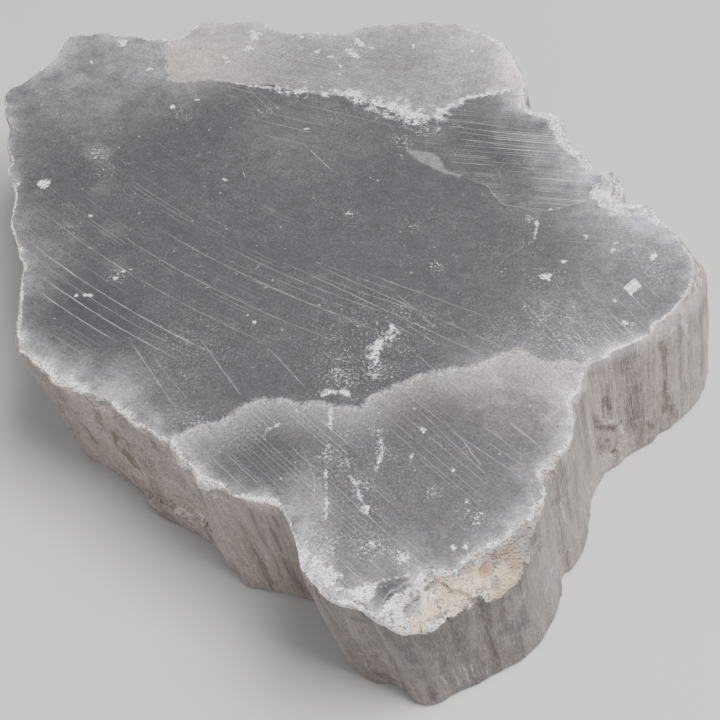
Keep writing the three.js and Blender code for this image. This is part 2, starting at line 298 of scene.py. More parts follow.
# How far down the wall is crumbled under the rim, and how white: the angle in degrees, mm, share.
crumbled_to = [
    (14, 0.3, 0.45), (22, 4, 0.8), (40, 6, 1), (66, 5, 1), (82, 0.6, 1), (100, 0.5, 1),
    (190, 0.8, 0.7), (205, 1.5, 0.7), (222, 0.5, 0.7), (232, 2.5, 0.7), (238, 4, 0.7),
    (243, 1, 0.7), (250, 0.8, 0.7), (262, 0.8, 0.7), (268, 2, 1), (271, 3.3, 1), (273.4, 3.6, 1),
    (275.6, 7.7, 1), (278, 9.8, 1), (281, 7.8, 1), (284.3, 8, 1), (287.7, 9.5, 1), (291, 14, 0.6),
    (293, 13, 0.45), (295, 10.3, 0.4), (297.6, 9, 0.4), (299.5, 5, 0.4), (301, 2, 0.4),
    (308, 1.2, 0.6), (320, 0.6, 0.6), (345, 0.2, 0.5), (0, 0.2, 0.45),
]
# Marks on the wall, each a line: the angle in degrees and the height of both ends, half the width
# in mm, and how strong. Clay lies in pits and seams, clear fibres look dark, split ones pale.
clay_marks = [
    (287.5, 45, 287.8, 6, 0.7, 1), (354, 46, 354.7, 37, 1.4, 0.7), (354.7, 37, 354.7, 20, 0.7, 1),
    (354.7, 19, 354.3, 11, 1.2, 1), (342.3, 35, 342.7, 30, 1.1, 0.7),
    (341.7, 36, 341.2, 27, 0.6, 0.7), (197.6, 30, 197.3, 17, 1.2, 1),
    (206.5, 47, 205.2, 38, 1.2, 0.7), (206.6, 37, 206.1, 30, 1.1, 0.9),
    (207, 29, 207.7, 24, 1.4, 1), (208.2, 27, 207.6, 18, 1.2, 0.9), (210, 43, 208.7, 33, 1, 0.7),
    (195.5, 13.4, 196.8, 13, 1.2, 0.7), (203.7, 11, 205.1, 8, 1.2, 0.8),
    (231.5, 39, 230.1, 35, 1, 1), (217.2, 18.5, 220.6, 17.8, 1.5, 0.6), (343.8, 6, 343.3, 5, 1, 1),
    (341.9, 15, 342.8, 13, 1, 0.8), (348, 49, 348.6, 47, 1.3, 0.6), (343.2, 21, 345, 15, 1, 0.7),
    (288.2, 43, 289.2, 39, 1, 0.9), (350.3, 12, 351.3, 8.5, 1.2, 0.8),
    (355.4, 11, 356.8, 4, 2, 0.7), (288.1, 39, 288.3, 28, 1.5, 0.5), (221.3, 51, 221.3, 49, 1, 0.8),
]
clear_marks = [
    (289.4, 22.6, 293.5, 20.3, 1.6, 0.8), (294.2, 27, 294.7, 16, 2, 0.8),
    (292.1, 24, 292.6, 18, 1.6, 0.8), (292.6, 15, 292.8, 1, 0.9, 0.8),
    (278.3, 43, 278.4, 36, 1.4, 0.9), (279, 41, 281.2, 37, 1.2, 0.9),
    (275.2, 39, 275.7, 28, 2.2, 0.7), (266.4, 10, 270.3, 6, 2.4, 0.8),
    (276.5, 11, 276.4, 5, 1.6, 0.8), (282.8, 45, 282.3, 25, 0.7, 1),
    (235.4, 32, 234.7, 17, 0.6, 0.8), (248.5, 49, 246.9, 30, 1, 0.8), (243, 24, 243.6, 6, 0.8, 0.8),
    (242.5, 16, 242.9, 2, 0.7, 0.7), (251.3, 41, 250.7, 29, 1, 1), (247.7, 24, 246.6, 12, 0.7, 0.8),
    (253.4, 49, 253.5, 44, 0.9, 0.7), (234.5, 45, 233.2, 35, 2.4, 0.7),
    (250.3, 24, 250.3, 7, 2.4, 0.5), (348.4, 34, 348.2, 17, 0.9, 0.5),
    (342.8, 41, 342.4, 28, 0.9, 0.6), (359, 21, 358.8, 11, 0.9, 0.5),
    (223.7, 10, 225.1, 4, 1.8, 0.6), (313.8, 52, 313.1, 46, 1.6, 0.5),
    (318.6, 38, 317.7, 27, 1.2, 0.5), (268, 46, 270.1, 45, 0.8, 0.8), (271, 51, 271, 45, 0.9, 0.8),
]
pale_marks = [
    (298.7, 42, 301.7, 46.5, 0.9, 1), (300.7, 36, 303.6, 49, 0.7, 0.6),
    (300.4, 17, 304.3, 20, 0.9, 1), (294.6, 32, 295.4, 34.4, 1, 0.9),
    (278.7, 17, 278.9, 4, 0.6, 0.7), (280.7, 16, 280.8, 3, 0.6, 0.6),
    (282.3, 17, 282.4, 3, 0.6, 0.8), (283.5, 15, 283.6, 5, 0.6, 0.7),
    (285.5, 7, 285.6, 2, 0.6, 0.6), (340.5, 24.6, 343.3, 23, 1.1, 0.9),
    (346, 16, 346.4, 12, 1.1, 0.9), (215.9, 10, 222.1, 11.7, 1.3, 0.9),
    (222.1, 11.7, 223.4, 9.7, 1.1, 0.7), (237.8, 48, 242.5, 48.6, 1.8, 0.5),
    (207.6, 28.7, 209.2, 27, 0.7, 0.8), (207.3, 20, 208, 17.6, 0.8, 0.8),
    (209.3, 19.6, 211.1, 19, 0.9, 0.7), (206, 30, 207, 30.4, 0.7, 0.8),
    (353, 49, 358, 46, 0.9, 0.7), (358.7, 48, 359.8, 38, 0.9, 0.7), (312, 37, 312.3, 26, 0.6, 0.7),
    (333.8, 32, 335.9, 21, 0.9, 0.6), (318.9, 50, 319.3, 44, 0.9, 0.7),
    (331.4, 9, 329.1, 5, 0.9, 0.8),
]
# Spots of the chip in front: the place, the height and the radius.
tan_spots = [
    (26, -98, 48.5, 5.5), (23, -95.5, 51, 3.5), (29, -93.5, 50, 4), (33, -91.5, 48, 4.5),
    (20, -101, 47, 3), (16.5, -104.5, 46.7, 3), (40, -90, 45.5, 5.5), (37, -93, 43, 3.5),
]
# Brown stains, partly painted shade in the hollow under the rim.
brown_and_shade_spots = [
    (34, -89, 48, 3.5), (40, -85, 50, 4), (42, -87, 47, 3.5), (13, -101.5, 50, 2), (37, -87, 50, 3),
]
# Painted shade on the chip's face under the rim.
shade_spots = [
    (37, -91.5, 45, 2.5), (14.5, -100, 49.5, 4), (44.5, -81.5, 50, 4.5), (29.6, -91, 52, 3),
    (46.5, -83, 48, 3.5), (20.3, -95.3, 50, 1.6), (49, -78, 47, 4),
]
chip_crack = [
    (23.4, -95.4, 50.5), (25, -96.8, 49.5), (27, -96.5, 49), (29, -96.5, 47.4), (30.7, -97.2, 45.7),
]
fine_grid = 0.6  # spacing of the sawn top's points along the cracks, flakes and edges
fine_width = 2.2  # how far from them the points are that fine
net_gap = 0.4  # left between the fine net and the coarse one
net_rows = 0.866  # from row to row of a net, as a share of its spacing
net_margin = 0.6  # how far a net stays inside the last ring, as a share of its spacing
weld = 1e-5  # points closer than this become one
flake_spine = 0.8  # the share of a flake's length that the fine net follows


def walked(chain, closed, step=0.3):
    """Points along a chain of places, a step apart."""
    ends = chain[1:] + chain[:1] if closed else chain[1:]
    path = []
    for start, end in zip(np.array(chain, float), np.array(ends, float)):
        count = max(1, math.ceil(np.hypot(*(end - start)[:2]) / step))
        path.extend(start + (end - start) * i / count for i in range(count))
    return path


def nearest_of(places, path):
    """How far each place lies from the nearest point of a path, and which point that is."""
    tree = kdtree.KDTree(len(path))
    for i, point in enumerate(path):
        tree.insert((point[0], point[1], 0), i)
    tree.balance()
    finds = [tree.find((x, y, 0)) for x, y in places]
    return np.array([gap for _, _, gap in finds]), np.array([i for _, i, _ in finds])


def nearest(places, path):
    """How far each place lies from a path, over the path's width there if it has one."""
    gaps, found = nearest_of(places, path)
    return gaps / np.array([path[i][2] if len(path[i]) > 2 else 1 for i in found])


def within(places, outline):
    """Signed distance to an outline, positive inside."""
    x, y = places.T
    inside = np.zeros(len(places), bool)
    for (ax, ay), (bx, by) in zip(outline, outline[1:] + outline[:1]):
        if ay != by:
            crosses = ((ay > y) != (by > y)) & (x < ax + (y - ay) * (bx - ax) / (by - ay))
            inside ^= crosses
    return np.where(inside, 1, -1) * nearest(places, walked(outline, True))


# The sawn top: rings in from the rim, then a net of points, finer along the flaws. A scratch is
# three rows of points, so that it stays thin.
rim_reach = reach[0]
rings = [heart + ways * (rim_reach - inset)[:, None] for inset in ring_insets]
zones = {
    "cloudy_back": cloudy_back,
    "lens": lens,
    "pale_patch": pale_patch,
    "cloudy_front": cloudy_front,
}
crack_path = [point for chain in cracks for point in walked(chain, False)]
flaw_path = list(crack_path)
for flake_x, flake_y, half_length, _, degrees in flakes:
    tip_x = flake_spine * half_length * math.cos(math.radians(degrees))
    tip_y = flake_spine * half_length * math.sin(math.radians(degrees))
    ends = [(flake_x - tip_x, flake_y - tip_y), (flake_x + tip_x, flake_y + tip_y)]
    flaw_path += walked(ends, False)
for outline in [*zones.values(), *white_pieces]:
    flaw_path += walked(outline, True)


def room(places):
    """How far places of the sawn top lie from its last ring, in mm, positive inside."""
    turns = np.mod(np.arctan2(places[:, 1], places[:, 0]), 2 * math.pi)
    limit = np.interp(turns, angles, rim_reach, period=2 * math.pi) - ring_insets[-1]
    return limit - np.hypot(*places.T)


def net(spacing):
    """A net of triangles' corners over the sawn top, inside its last ring, in mm."""
    half = math.hypot(slab_high[0] - slab_low[0], slab_high[1] - slab_low[1]) / 2 / MM
    across, ahead = np.arange(-half, half, spacing), np.arange(-half, half, spacing * net_rows)
    x, y = np.meshgrid(across, ahead)
    x = x + (np.arange(len(x)) % 2)[:, None] * spacing / 2
    places = np.column_stack([x.ravel(), y.ravel()])
    places = places[room(places) > net_margin * spacing]
    return places, nearest(places, [point[:2] for point in flaw_path])


chance = np.random.default_rng(8)
lines = []
for radius, from_x, to_x, strength in saw_arcs:
    across = np.arange(from_x, to_x, line_step)
    below = saw_centre[1] - np.sqrt(radius ** 2 - (across - saw_centre[0]) ** 2)
    lines.append((np.column_stack([across, below]), strength))
for start_x, start_y, end_x, end_y, strength in scratches:
    count = max(4, round(math.hypot(end_x - start_x, end_y - start_y) / line_step))
    lines.append((np.linspace((start_x, start_y), (end_x, end_y), count), strength))
for chain, strength in seams:
    lines.append((np.array(walked(chain, False, line_step)), strength))
for _ in range(nick_count):
    start = chance.uniform(scatter_low, scatter_high)
    turn, half_length = chance.uniform(0, 2 * math.pi), chance.uniform(*nick_reach)
    tip = half_length * np.array([math.cos(turn), math.sin(turn)])
    bend = nick_bow * half_length * chance.uniform(-1, 1)
    bowed = bend * np.array([-math.sin(turn), math.cos(turn)])
    strength = chance.uniform(0.1, 1) ** 2
    lines.append((np.array([start - tip, start + bowed, start + tip]), strength))
line_points, line_edges, line_path, line_strength = [], [], [], []
for points, strength in lines:
    points = points + chance.normal(0, line_wobble, points.shape)
    points = points[room(points) > line_margin]
    if len(points) < 3:
        continue
    ahead = np.gradient(points, axis=0)
    sideways = np.column_stack([-ahead[:, 1], ahead[:, 0]]) / np.hypot(*ahead.T)[:, None]
    for offset in (-hairline, 0, hairline):
        first = len(line_points)
        line_points += list(points + sideways * offset)
        line_edges += [(first + i, first + i + 1) for i in range(len(points) - 1)]
    walk = walked(points.tolist(), False, 0.1)
    part = np.linspace(0, 1, len(walk))
    fading = np.minimum(1, line_fade * np.minimum(part, part[::-1]))
    line_path += walk
    line_strength += list(strength * fading)
specks = chance.uniform(scatter_low, scatter_high, (speck_count, 2))
specks = specks[room(specks) > line_margin]
speck_radii = speck_size + speck_growth * chance.random(len(specks)) ** 3
around = np.linspace(0, 2 * math.pi, speck_corners, endpoint=False)
for speck, speck_radius in zip(specks, speck_radii):
    line_points.append(speck)
    line_points += list(speck + speck_radius * np.column_stack([np.cos(around), np.sin(around)]))

coarse, coarse_gap = net(top_grid)
fine, fine_gap = net(fine_grid)
free = np.concatenate([coarse[coarse_gap > fine_width], fine[fine_gap < fine_width - net_gap]])
free = free[nearest(free, line_points) > line_room]
loop = [(i, (i + 1) % column_count) for i in range(column_count)]
first_line = column_count + len(free)
corners = [Vector(p) for p in rings[-1]] + [Vector(p + heart) for p in free]
corners += [Vector(p + heart) for p in line_points]
edges = loop + [(first_line + a, first_line + b) for a, b in line_edges]
filled = geometry.delaunay_2d_cdt(corners, edges, [], 1, weld)
at_ring = [next((i for i in merged if i < column_count), None) for merged in filled[3]]
free = np.array([place for place, ring in zip(filled[0], at_ring) if ring is None])

# Everything joined into one closed mesh: rings of the top, rows of the wall, rings of the base.
rows = [heart_line(height) + ways * row[:, None] for height, row in zip(heights, reach)]
base_rings = [heart_line(0) + ways * (reach[-1] * share)[:, None] for share in base_shares]
flats = rings[::-1] + rows + base_rings
levels = [thickness] * len(rings) + heights + [0] * len(base_rings)
positions = np.concatenate(
    [np.column_stack([flat, np.full(len(flat), level)]) for flat, level in zip(flats, levels)]
    + [np.column_stack([free, np.full(len(free), thickness)]), [[*heart_line(0), 0]]]
)
here = np.arange(column_count)
following = (here + 1) % column_count
faces = []
for band in range(len(flats) - 1):
    upper, lower = band * column_count, (band + 1) * column_count
    quads = [upper + here, lower + here, lower + following, upper + following]
    faces += np.column_stack(quads).tolist()
last_ring = (len(flats) - 1) * column_count
first_free = len(flats) * column_count
free_order = np.cumsum([ring is None for ring in at_ring]) - 1 + first_free
for face in filled[2]:
    faces.append([free_order[i] if at_ring[i] is None else at_ring[i] for i in face])
hub = np.full(column_count, len(positions) - 1)
faces += np.column_stack([last_ring + following, last_ring + here, hub]).tolist()


# The chips and ledges of the wall get finer faces, and all the wall is laid on the solid again.
finest_edge = 0.75  # longer edges are split there
split_rounds = 2  # so many times at most
split_above = 0.3  # where both ends of the edge lie on a chip or a ledge at least this much
clear_of_chips = 15  # this deep under the top, no chip reaches the wall
shelf_depths = (12, 10)  # under the top: where the chips' shelves end, and where they are whole
row_heights = np.array(heights)
slope = np.abs(np.gradient(reach, axis=0) / np.gradient(row_heights)[:, None])
full_row = int(np.argmin(np.abs(row_heights - (thickness - clear_of_chips))))
shelf = smooth(0.5, 1.2, reach[full_row] - reach)
shelf *= smooth(*shelf_depths, thickness - row_heights)[:, None]
split_here = np.zeros(len(positions))
first_wall = len(rings) * column_count
past_wall = first_wall + len(rows) * column_count
split_here[first_wall:past_wall] = np.maximum(shelf, smooth(0.3, 0.7, slope)).ravel()

shape = bmesh.new()
weight = shape.verts.layers.float.new("split_here")
vertices = [shape.verts.new(place) for place in positions]
for vertex, value in zip(vertices, split_here):
    vertex[weight] = value
for face in faces:
    shape.faces.new([vertices[i] for i in face])
for _ in range(split_rounds):
    long_edges = [
        edge
        for edge in shape.edges
        if min(v[weight] for v in edge.verts) > split_above and edge.calc_length() > finest_edge
    ]
    bmesh.ops.subdivide_edges(shape, edges=long_edges, cuts=1, use_grid_fill=True)
on_wall = np.ones(len(shape.verts), bool)
on_wall[: len(positions)] = False
on_wall[first_wall:past_wall] = True
positions = np.array([vertex.co for vertex in shape.verts])
shape.verts.index_update()
faces = [[vertex.index for vertex in face.verts] for face in shape.faces]
shape.free()

up = positions[:, 2]
depth = thickness - up
from_heart = positions[:, :2] - heart_line(up)
turns = np.mod(np.arctan2(from_heart[:, 1], from_heart[:, 0]), 2 * math.pi)
radius = np.hypot(*from_heart.T)
radius[on_wall] = radii(turns[on_wall], up[on_wall])
outward = np.column_stack([np.cos(turns), np.sin(turns), 0 * turns])
positions[:, :2] = heart_line(up) + outward[:, :2] * radius[:, None]


# The carving. Fibres, splinters, the crushed rim and the rough chips move the mesh's points. A
# seed gives each use of the noise a part of its own.
def lumps(along, up, width, height, seed):
    """Smooth unevenness from -1 to 1, closed round the wall, in lumps of that width and height."""
    across = max(3, round(girth / width))
    rows = int(2 * thickness / height) + 3
    grid = np.random.default_rng(seed).uniform(-1, 1, (across, rows))
    a = along / girth * across
    b = np.clip(up / height + 1, 0, rows - 2)
    i, j = np.floor(a).astype(int), np.floor(b).astype(int)
    s, t = a - i, b - j
    s, t = s * s * (3 - 2 * s), t * t * (3 - 2 * t)
    i, k = i % across, (i + 1) % across
    near = grid[i, j] * (1 - t) + grid[i, j + 1] * t
    far = grid[k, j] * (1 - t) + grid[k, j + 1] * t
    return near * (1 - s) + far * s


def splinters(along, up, width, depth, seed):
    """Bundles of fibres side by side, each broken off in a step at its own height."""
    count = round(girth / width)
    scatter = np.random.default_rng(seed)
    edges = np.sort(scatter.uniform(0, girth, count))
    bundle = np.searchsorted(edges, along % girth) % count
    broken_at = scatter.uniform(0.1, 0.9, count)[bundle] * thickness
    ragged = 1.5 * lumps(along, up, 1.2, 40, seed + 1)
    over = np.clip((up + ragged - broken_at) / 0.8, 0, 1)
    upper = scatter.uniform(-1, 1, count)[bundle]
    lower = scatter.uniform(-1, 1, count)[bundle]
    return depth * (upper * over + lower * (1 - over))


def crumbs(places, size, seed):
    """Granular unevenness from about -1 to 1, with grains of that size, at places in mm."""
    shift = Vector((17.3 * seed, 5.1 * seed, 9.7 * seed))
    values = []
    for place in places:
        spot = Vector(place) / size + shift
        grain = 1 - 1.6 * noise.voronoi(spot)[0][0]
        values.append(0.6 * grain + 0.5 * noise.noise(spot * 0.5))
    return np.array(values)


def drift(size, seed, squeeze=1.0):
    """Soft unevenness from about -1 to 1 at each point, in patches of that size in mm."""
    shift = Vector((3.7 * seed, 9.1 * seed, 5.3 * seed))
    spots = along_fibres * (1, 1, squeeze)
    return np.array([noise.fractal(Vector(spot) / size + shift, 1, 2, 3) for spot in spots])


run = np.interp(turns, np.append(angles, 2 * math.pi), np.append(along, girth))
on_top = (up > thickness - 0.001) & ~on_wall
along_fibres = positions - np.column_stack([heart_line(up), 0 * up])
along_fibres[:, 2] = up

# How far in from the rim each point of the top lies; on the wall, minus its depth.
places = positions[:, :2] - heart
rim_path = [tuple(place) for place in ways * rim_reach[:, None]]
inset = np.where(on_wall, -depth, -thickness)
inset[on_top] = nearest(places[on_top], rim_path)

# Chipped: a shelf that lies well inside the wall below it, up to its lip. Worn: the rim's width
# of crumbling there. Bitten: how far the rim is broken back.
chip_depths = (12.5, 10.5)  # under the top: where the rough chips end, and where they are whole
full_reach = np.interp(turns, angles, reach[full_row], period=2 * math.pi)
chipped = smooth(0.6, 2, full_reach - radius) * smooth(*chip_depths, depth) * on_wall
evenly_worn = by_angle(rim_wear, turns)
unevenness = lumps(run, 0 * run, 8, 20, 12) + 0.6 * lumps(run, 0 * run, 3, 20, 13)
worn = evenly_worn * np.clip(1 + 0.75 * unevenness, 0.2, 2.2)
nicks = lumps(run, 0 * run, 5, 20, 15) + 0.7 * lumps(run, 0 * run, 2.2, 20, 16)
bitten = 0.25 + 0.15 * worn + np.clip(nicks, 0, 2) * (0.4 + 0.2 * worn)
bitten = np.clip(bitten, 0.2, 3) * (1 - chipped)
bevel = np.clip(bitten - np.abs(inset), 0, 3) * (on_wall | on_top) / 2


def between(start, full, fading, end):
    """1 along the wall from the second of four angles to the third, fading to the outer two."""
    degrees = np.degrees(turns)
    return smooth(start, full, degrees) * smooth(end, fading, degrees)


fibres = 0.2 * lumps(run, up, 2.8, 34, 1) + 0.16 * lumps(run, up, 1.4, 20, 2)
fibres += splinters(run, up, 5, 0.26, 3) + splinters(run, up, 2, 0.13, 5)
massive = between(180, 192, 226, 240)  # at the left the log is massive, and shows few fibres
coarse_grown = (0.6 + 0.4 * lumps(run, up, 45, 30, 14)) * (1 - 0.75 * massive)
crushed = smooth(worn, 0.1 * worn, np.abs(inset)) * (on_wall | on_top)
swell = fibres * coarse_grown * (1 - np.maximum(chipped, 0.8 * crushed))
lumpy = massive * (0.8 * drift(9, 21) + 0.45 * drift(3.5, 22))
swell += lumpy + (1 - massive) * 0.4 * drift(12, 23, 0.5)
swell *= on_wall * (1 - 0.7 * chipped)

rough = np.maximum(chipped, crushed) > 0.02
gritty = positions[rough]
grit = np.zeros((len(positions), 3))
for axis in range(3):
    grit[rough, axis] = 0.45 * crumbs(gritty, 2.6, axis + 1) + 0.25 * crumbs(gritty, 1.3, axis + 4)
    grit[rough, axis] += 1.3 * chipped[rough] * crumbs(gritty, 6, axis + 7)
grit *= (0.6 * crushed + 0.9 * chipped * (1 - crushed))[:, None]
grit[:, 2] = np.where(on_top, -0.9 * np.abs(grit[:, 2]), grit[:, 2])
grit[on_top, :2] *= 0.3

positions = positions + outward * (swell - bevel)[:, None] + grit
positions[:, 2] -= bevel
positions[:, 2] = np.clip(positions[:, 2], 0, thickness)
positions[up == 0, 2] = 0


# Broad fields of the look, stored on the mesh: where it is milky, crushed, streaked or stained, and
# where light and shade are painted.
def marked(marks):
    """1 on each of those marks of the wall, and 0 past its edge."""
    strength = np.zeros(len(positions))
    for start, start_height, end, end_height, half_width, share in marks:
        past_start = np.radians((np.degrees(turns) - start + 180) % 360 - 180) * radius
        over_start = up - start_height
        length, rise = math.radians(end - start) * radius, end_height - start_height
        part = np.clip((past_start * length + over_start * rise) / (length ** 2 + rise ** 2), 0, 1)
        gap = np.hypot(past_start - part * length, over_start - part * rise)
        strength = np.maximum(strength, share * np.clip(1.6 - 1.6 * gap / half_width, 0, 1))
    return strength * on_wall


patches = drift(9, 2)
fine_patches = drift(4, 4)
glow = np.exp(-np.maximum(inset, 0) / (1.1 * evenly_worn + 1.5)) * (0.1 + 0.06 * evenly_worn)
milk = 0.02 + 0.012 * drift(40, 1) + glow * (1 + 0.7 * patches + 0.4 * fine_patches)
for haze_x, haze_y, haze_radius, strength in hazes:
    away = np.hypot(places[:, 0] - haze_x, places[:, 1] - haze_y) / haze_radius
    milk += strength * (1 + 0.3 * patches + 0.2 * fine_patches) * smooth(1, 0, away)
milk = np.maximum(milk, 0)


def tinted(spots):
    """1 in the middle of each of those places of the sawn top, and 0 past its radius."""
    strength = np.zeros(len(positions))
    for spot_x, spot_y, spot_radius, share in spots:
        away = np.hypot(places[:, 0] - spot_x, places[:, 1] - spot_y) / spot_radius
        strength = np.maximum(strength, share * smooth(1, 0.2, away))
    return strength


distances = {name: within(places, outline) for name, outline in zones.items()}
flaked = np.full(len(positions), 9.0)
for flake_x, flake_y, half_length, half_width, degrees in flakes:
    off_x, off_y = places[:, 0] - flake_x, places[:, 1] - flake_y
    cosine, sine = math.cos(math.radians(degrees)), math.sin(math.radians(degrees))
    lengthwise = np.abs(off_x * cosine + off_y * sine) / half_length
    sideways = np.abs(off_y * cosine - off_x * sine) / half_width
    flaked = np.minimum(flaked, np.hypot(lengthwise, sideways))
flaked *= 1.15 + 0.9 * drift(1.4, 24)
white_piece = np.max([within(places, outline) for outline in white_pieces], 0)
past_veil = distances["cloudy_front"]
veil_edge = smooth(3.5, 0, np.abs(past_veil - 1)) * smooth(-8, -2, past_veil)
crack_gap, crack_index = nearest_of(places, crack_path)
crack_width = np.array([point[2] for point in crack_path])[crack_index]
cracked = crack_gap / (crack_width * np.clip(1 + 1.8 * drift(1.4, 30), 0.2, 2.2))
faint = np.clip(0.2 + 1.1 * crack_width, 0, 1) * np.clip(0.95 + 1.4 * fine_patches, 0.2, 1.3)
line_gap, line_index = nearest_of(places, line_path)
scratched = np.clip(1 - line_gap / hairline, 0, 1) * np.array(line_strength)[line_index]
scratched *= np.clip(0.8 + 0.7 * fine_patches, 0.2, 1.3)
scratched = np.maximum(scratched, 1.3 * (nearest(places, specks) < 0.01))
rim_depth = by_angle(crests, turns) * worn / evenly_worn + 0.05
shattered = by_angle(shattered_to, turns)
shattered_here = smooth(0, 1, shattered)
shattered *= 1 + 0.4 * fine_patches
rim_strength = np.clip(0.8 + 0.6 * drift(7, 27) + 0.3 * fine_patches, 0.25, 1.1)
broken = np.max(
    [
        np.clip(1.05 - 0.6 * cracked, 0, 1) * faint,
        0.25 * smooth(3, 1, cracked) * faint,
        smooth(1.1, 0.5, flaked) + 0.15 * smooth(2, 1, flaked),
        smooth(-0.2, 0.3, white_piece),
        0.25 * veil_edge,
        (0.4 + 0.5 * fine_patches) * smooth(0.5, -0.5, inset - shattered) * shattered_here,
        0.8 * smooth(0.9, 0.1, np.abs(inset - shattered)) * shattered_here,
        rim_strength * np.exp(-np.maximum(inset, 0) / rim_depth) * smooth(-1.2, -0.1, inset),
    ],
    0,
)
debris_here = np.maximum(tinted(debris) * (1 + 0.5 * fine_patches), 0.06 + 0.08 * patches)
under_rim = by_angle(crumbled_to, turns) * (1 + 0.3 * drift(5, 25))
granular = np.maximum(chipped, smooth(under_rim + 1, under_rim - 1, depth) * on_wall)


def spotted(spots):
    """1 in the middle of each of those spots and 0 past its edge."""
    strength = np.zeros(len(positions))
    from_spots = np.column_stack([places, up])
    for spot_x, spot_y, spot_height, spot_radius in spots:
        away = np.linalg.norm(from_spots - (spot_x, spot_y, spot_height), axis=1)
        strength = np.maximum(strength, 1 - away / spot_radius)
    return strength


mesh = bpy.data.meshes.new("selenite_slab_look")
mesh.from_pydata((positions * MM).tolist(), [], faces)
fields = {
    "inset": inset,
    "granular": granular,
    "chalky": by_angle(crumbled_to, turns, 2),
    "tan": spotted(tan_spots),
    # Brown stains, partly painted shade in the chip's hollow under the rim.
    "brown_and_shade": spotted(brown_and_shade_spots),
    # Painted shade on the chip's face under the rim.
    "painted_chip_shade": spotted(shade_spots),
    "cracked": spotted([(*spot, 1) for spot in walked(chip_crack, False)]),
    "broken": broken * smooth(-1.2, -0.4, inset),
    "debris": debris_here * on_top,
    "patchy": np.clip(0.6 + 2 * drift(14, 26), 0, 1),
    "milk": milk,
    "cream": tinted(creams),
    "blue": tinted(blues),
    "scratched": scratched * on_top,
    "massive": massive,
    "frosted": smooth(1.2, 0.3, depth / by_angle(frosted_to, turns)),
    "calm": between(226, 238, 252, 264),
    # Painted light and shade round the wall: lighter at the sides, darker in front.
    "painted_light_and_shade": by_angle(painted_wall_light_and_shade, turns),
    "streak": 0.3 * drift(3.5, 5, 0.05) * (1 - 0.7 * massive) + 0.25 * drift(20, 6, 0.7),
    "clay": np.maximum(marked(clay_marks), 0.5 * (drift(3, 7, 0.12) + 0.8 * drift(17, 8) - 0.6)),
    "clear": np.maximum(marked(clear_marks), 0.5 * (drift(6, 9, 0.35) - 0.4) * (1 - massive)),
    "pale": np.maximum(marked(pale_marks), 0.5 * (drift(2.5, 10, 0.1) - 0.4)),
    **distances,
}
for name, values in fields.items():
    stored_field = mesh.attributes.new(name, "FLOAT", "POINT")
    stored_field.data.foreach_set("value", values.astype(np.float32))
mesh.shade_smooth()
slab = bpy.data.objects.new("selenite_crystal", mesh)
bpy.context.collection.objects.link(slab)
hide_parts("selenite_slab")
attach(slab, "root")

# The crystal's look. Clear grey selenite, clouded where its fibres have parted, with a dull sawn
# face. Crushed edges and cracks are white. The log's outside is satin, streaked along the
# fibres, with brown clay left in its pits.
refraction = 1.52  # gypsum's
crystal = bpy.data.materials.new("fibrous_selenite")
crystal.use_nodes = True
shade = crystal.node_tree
shade.nodes.clear()


class Wire:
    """A node's output, so that shading maths reads as arithmetic."""

    def __init__(self, socket):
        self.socket = socket

    @classmethod
    def node(cls, kind, settings, sockets, output=0):
        """Adds a node: its type, its settings, then a value or a wire for each socket named."""
        made = shade.nodes.new("ShaderNode" + kind)
        for name, value in settings.items():
            setattr(made, name, value)
        for name, value in sockets.items():
            if isinstance(value, Wire):
                shade.links.new(value.socket, made.inputs[name])
            else:
                made.inputs[name].default_value = value
        return cls(made.outputs[output]) if made.outputs else None

    def other(self, output):
        """Another output of the same node."""
        return Wire(self.socket.node.outputs[output])

    def math(self, operation, *others):
        return Wire.node("Math", {"operation": operation}, dict(enumerate([self, *others])))

    def __add__(self, other):
        return self.math("ADD", other)

    def __radd__(self, other):
        return self.math("ADD", other)

    def __sub__(self, other):
        return self.math("SUBTRACT", other)

    def __rsub__(self, other):
        return (self * -1).math("ADD", other)

    def __mul__(self, other):
        return self.math("MULTIPLY", other)

    def __rmul__(self, other):
        return self.math("MULTIPLY", other)

    def __pow__(self, other):
        return self.math("POWER", other)

    def over(self, other):
        """The larger of two values."""
        return self.math("MAXIMUM", other)

    def step(self, low, high):
        """0 up to low and 1 from high on, softly; low may be above high."""
        settings = {"interpolation_type": "SMOOTHSTEP"}
        return Wire.node("MapRange", settings, {0: self, 1: low, 2: high})


def mixed(share, first, second, blend="MIX"):
    """A share of the second colour laid over the first."""
    first, second = [c if isinstance(c, Wire) else (*c, 1) for c in (first, second)]
    settings = {"data_type": "RGBA", "blend_type": blend}
    return Wire.node("Mix", settings, {0: share, 6: first, 7: second}, 2)


def stored(name):
    """A value that the mesh holds for each point."""
    return Wire.node("Attribute", {"attribute_name": name}, {}, 2)


def moved(place, offset):
    """A place shifted by so many mm."""
    return Wire.node("VectorMath", {"operation": "ADD"}, {0: place, 1: offset})


def scaled(vector, share):
    """A colour or a place times a number."""
    return Wire.node("VectorMath", {"operation": "SCALE"}, {0: vector, "Scale": share})


def speckle(place, size, seed, detail=1):
    """Fine noise from 0 to 1 with specks of that size in mm."""
    place = moved(place, (31.7 * seed, 17.9 * seed, 11.3 * seed))
    sockets = {"Vector": place, "Scale": 1 / size, "Detail": detail, "Roughness": 0.55}
    return Wire.node("TexNoise", {}, sockets)


place = scaled(Wire.node("TexCoord", {}, {}, 3), 1 / MM)  # in the slab's own frame, in mm
x = Wire.node("SeparateXYZ", {}, {0: place})
y = x.other(1)
z = x.other(2)


def drawn_out(squeeze):
    """The place with the fibres upright and squeezed, so that noise makes streaks along them."""
    return Wire.node("CombineXYZ", {}, {0: x + z * fibre_lean, 1: y, 2: z * squeeze})


